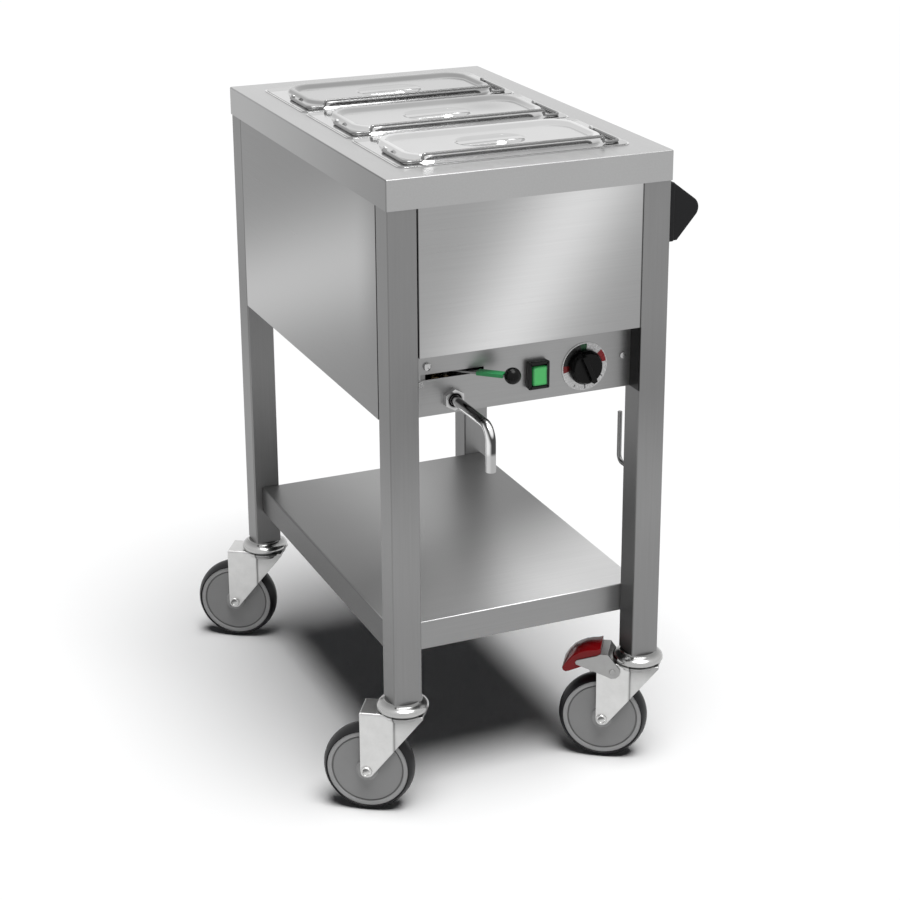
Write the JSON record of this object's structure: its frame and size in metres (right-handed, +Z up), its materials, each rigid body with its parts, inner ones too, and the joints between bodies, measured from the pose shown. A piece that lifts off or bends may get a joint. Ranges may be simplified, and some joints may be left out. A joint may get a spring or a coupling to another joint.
{
  "type": "hostess trolley",
  "caption": "Heated serving trolley with a drained water well, lidded food pans, a thermostat, a low shelf, a push bar and swivel casters with foot brakes.",
  "frame": {"origin": "on the floor, under the middle of the whole outline", "axes": "+Z up, -Y towards the control side, +X towards the push handle"},
  "size_m": [0.5151, 0.7716, 0.8943],
  "materials": {
    "stainless": "satin brushed stainless sheet and tube",
    "stainless_polished": "bright stainless sheet",
    "inner_steel": "plain stainless",
    "zinc": "bright zinc plate",
    "chrome": "polished",
    "brass": "cast and machined",
    "black_plastic": "glossy moulding",
    "black_matte": "matte moulding",
    "green_plastic": "glossy moulding",
    "red_plastic": "glossy moulding",
    "ivory_plastic": "matte moulding",
    "dial": "printed satin plate",
    "grey_plastic": "matte moulding",
    "tyre": "solid rubber"
  },
  "bodies": {
    "chassis": {"deck": "stainless", "legs": "stainless", "caster_heads": "zinc", "swivel_balls": "zinc", "front_panel": "stainless", "control_panel": "stainless", "side_panels": "stainless", "rear_panel": "stainless", "base_cover": "inner_steel", "shelf": "stainless", "well": "inner_steel", "well_base": "inner_steel", "heater": "inner_steel", "drain_pipe": "brass", "valve_body": "brass", "drain_spout": "chrome", "thermostat": "black_matte", "dial_plate": "dial", "switch_housing": "black_matte", "limiter": "chrome", "terminal_block": "ivory_plastic", "cable_gland": "black_matte", "cable_hooks": "stainless", "handle_brackets": "black_matte", "handle_bar": "stainless", "panel_screws": "inner_steel", "handle_screws": "inner_steel"},
    "pan_body_front": {"pan_front": "stainless_polished"},
    "lid_body_front": {"lid_front": "stainless_polished"},
    "bail_body_front": {"bail_front": "stainless_polished"},
    "pan_body_middle": {"pan_middle": "stainless_polished"},
    "lid_body_middle": {"lid_middle": "stainless_polished"},
    "bail_body_middle": {"bail_middle": "stainless_polished"},
    "pan_body_rear": {"pan_rear": "stainless_polished"},
    "lid_body_rear": {"lid_rear": "stainless_polished"},
    "bail_body_rear": {"bail_rear": "stainless_polished"},
    "swivel_fl": {"fork_fl": "zinc", "axle_fl": "zinc"},
    "wheel_fl": {"hub_fl": "grey_plastic", "tyre_fl": "tyre"},
    "swivel_fr": {"fork_fr": "zinc", "axle_fr": "zinc"},
    "wheel_fr": {"hub_fr": "grey_plastic", "tyre_fr": "tyre"},
    "swivel_rl": {"fork_rl": "zinc", "axle_rl": "zinc"},
    "wheel_rl": {"hub_rl": "grey_plastic", "tyre_rl": "tyre"},
    "swivel_rr": {"fork_rr": "zinc", "axle_rr": "zinc"},
    "wheel_rr": {"hub_rr": "grey_plastic", "tyre_rr": "tyre"},
    "brake_fr": {"brake_lever_fr": "zinc", "brake_pedal_fr": "red_plastic"},
    "brake_rr": {"brake_lever_rr": "zinc", "brake_pedal_rr": "red_plastic"},
    "drain_handle": {"drain_lever": "chrome", "lever_sleeve": "green_plastic", "lever_knob": "black_plastic"},
    "temperature_knob": {"thermostat_knob": "black_plastic"},
    "power_rocker": {"switch_rocker": "green_plastic"}
  },
  "joints": [
    {"name": "pan_lift_front", "type": "slide", "parent": "chassis", "child": "pan_body_front", "axis": [0, 0, 1], "range_m": [0, 0.22]},
    {"name": "lid_lift_front", "type": "slide", "parent": "pan_body_front", "child": "lid_body_front", "axis": [0, 0, 1], "range_m": [0, 0.25]},
    {"name": "bail_swing_front", "type": "hinge", "parent": "lid_body_front", "child": "bail_body_front", "pos_m": [0.01777, -0.15344, 0.8843], "axis": [-1, 0, 0], "range_deg": [0, 170]},
    {"name": "pan_lift_middle", "type": "slide", "parent": "chassis", "child": "pan_body_middle", "axis": [0, 0, 1], "range_m": [0, 0.22]},
    {"name": "lid_lift_middle", "type": "slide", "parent": "pan_body_middle", "child": "lid_body_middle", "axis": [0, 0, 1], "range_m": [0, 0.25]},
    {"name": "bail_swing_middle", "type": "hinge", "parent": "lid_body_middle", "child": "bail_body_middle", "pos_m": [0.01777, 0.02322, 0.8843], "axis": [-1, 0, 0], "range_deg": [0, 170]},
    {"name": "pan_lift_rear", "type": "slide", "parent": "chassis", "child": "pan_body_rear", "axis": [0, 0, 1], "range_m": [0, 0.22]},
    {"name": "lid_lift_rear", "type": "slide", "parent": "pan_body_rear", "child": "lid_body_rear", "axis": [0, 0, 1], "range_m": [0, 0.25]},
    {"name": "bail_swing_rear", "type": "hinge", "parent": "lid_body_rear", "child": "bail_body_rear", "pos_m": [0.01777, 0.19989, 0.8843], "axis": [-1, 0, 0], "range_deg": [0, 170]},
    {"name": "swivel_turn_fl", "type": "hinge", "parent": "chassis", "child": "swivel_fl", "pos_m": [-0.15923, -0.26528, 0.15], "axis": [0, 0, 1], "continuous": true},
    {"name": "wheel_roll_fl", "type": "hinge", "parent": "swivel_fl", "child": "wheel_fl", "pos_m": [-0.19864, -0.23968, 0.0625], "axis": [0.5446, 0.8387, 0], "continuous": true},
    {"name": "swivel_turn_fr", "type": "hinge", "parent": "chassis", "child": "swivel_fr", "pos_m": [0.19477, -0.26528, 0.15], "axis": [0, 0, 1], "continuous": true},
    {"name": "wheel_roll_fr", "type": "hinge", "parent": "swivel_fr", "child": "wheel_fr", "pos_m": [0.15536, -0.23968, 0.0625], "axis": [0.5446, 0.8387, 0], "continuous": true},
    {"name": "swivel_turn_rl", "type": "hinge", "parent": "chassis", "child": "swivel_rl", "pos_m": [-0.15923, 0.31172, 0.15], "axis": [0, 0, 1], "continuous": true},
    {"name": "wheel_roll_rl", "type": "hinge", "parent": "swivel_rl", "child": "wheel_rl", "pos_m": [-0.19864, 0.33732, 0.0625], "axis": [0.5446, 0.8387, 0], "continuous": true},
    {"name": "swivel_turn_rr", "type": "hinge", "parent": "chassis", "child": "swivel_rr", "pos_m": [0.19477, 0.31172, 0.15], "axis": [0, 0, 1], "continuous": true},
    {"name": "wheel_roll_rr", "type": "hinge", "parent": "swivel_rr", "child": "wheel_rr", "pos_m": [0.15536, 0.33732, 0.0625], "axis": [0.5446, 0.8387, 0], "continuous": true},
    {"name": "brake_press_fr", "type": "hinge", "parent": "swivel_fr", "child": "brake_fr", "pos_m": [0.1671, -0.2473, 0.1385], "axis": [-0.5446, -0.8387, 0], "range_deg": [0, 14]},
    {"name": "brake_press_rr", "type": "hinge", "parent": "swivel_rr", "child": "brake_rr", "pos_m": [0.1671, 0.3297, 0.1385], "axis": [-0.5446, -0.8387, 0], "range_deg": [0, 14]},
    {"name": "drain_turn", "type": "hinge", "parent": "chassis", "child": "drain_handle", "pos_m": [-0.08223, -0.23578, 0.61], "axis": [0, 0, -1], "range_deg": [0, 90]},
    {"name": "temperature_turn", "type": "hinge", "parent": "chassis", "child": "temperature_knob", "pos_m": [0.10677, -0.26828, 0.5935], "axis": [0, 1, 0], "range_deg": [0, 270]},
    {"name": "power_rock", "type": "hinge", "parent": "chassis", "child": "power_rocker", "pos_m": [0.03677, -0.26478, 0.5935], "axis": [1, 0, 0], "range_deg": [0, 14]}
  ]
}
